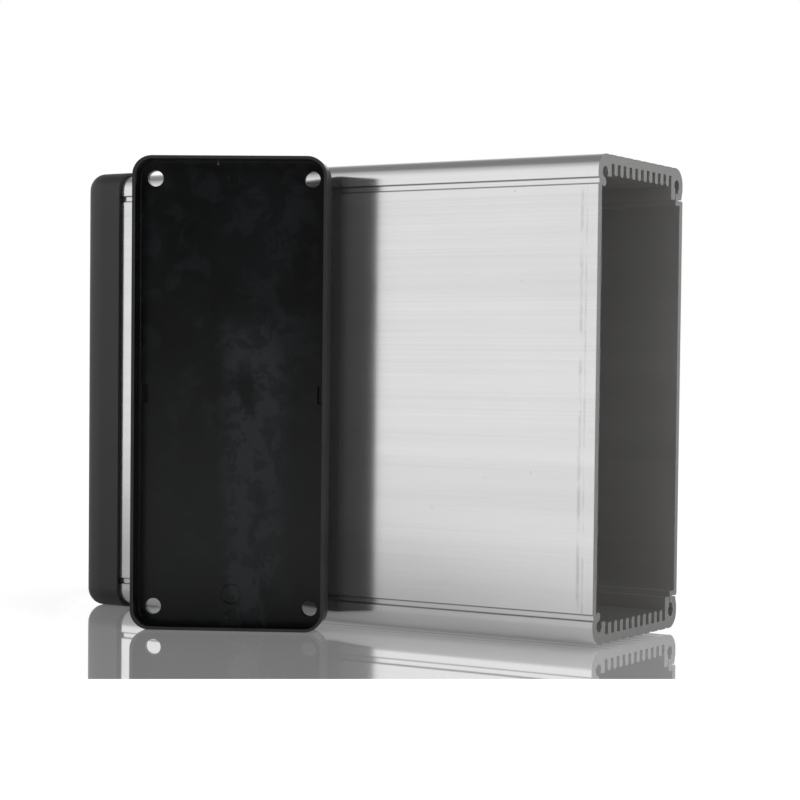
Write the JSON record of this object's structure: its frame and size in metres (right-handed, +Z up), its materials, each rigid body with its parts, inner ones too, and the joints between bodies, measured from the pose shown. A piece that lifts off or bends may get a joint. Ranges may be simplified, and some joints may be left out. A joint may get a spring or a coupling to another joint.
{
  "type": "extruded aluminium enclosure",
  "caption": "Sawn aluminium extrusion with internal card slots, corner screw channels, a sliding belly plate, a moulded end cap screwed on and a loose end cap beside it.",
  "frame": {"origin": "centre of the four screw channels in the open end face of the body extrusion", "axes": "+X along the extrusion, out of its open end; +Y from the wide wall towards the belly plate; +Z up, along the wide wall's width"},
  "size_m": [0.166, 0.0861, 0.125],
  "materials": {
    "extrusion": "satin, fine lines along the extrusion, sawn ends",
    "plate": "satin, fine lines along the extrusion, sawn ends",
    "cap_plastic": "fine texture outside, smooth inside",
    "screw_steel": "black zinc plated"
  },
  "bodies": {
    "housing": {"body_extrusion": "extrusion", "rear_end_cap": "cap_plastic", "rear_cap_screws": "screw_steel", "front_end_cap": "cap_plastic"},
    "sliding_plate": {"belly_plate": "plate"}
  },
  "joints": [
    {"name": "plate_slide", "type": "slide", "parent": "housing", "child": "sliding_plate", "axis": [1, 0, 0], "range_m": [0, 0.15]}
  ]
}
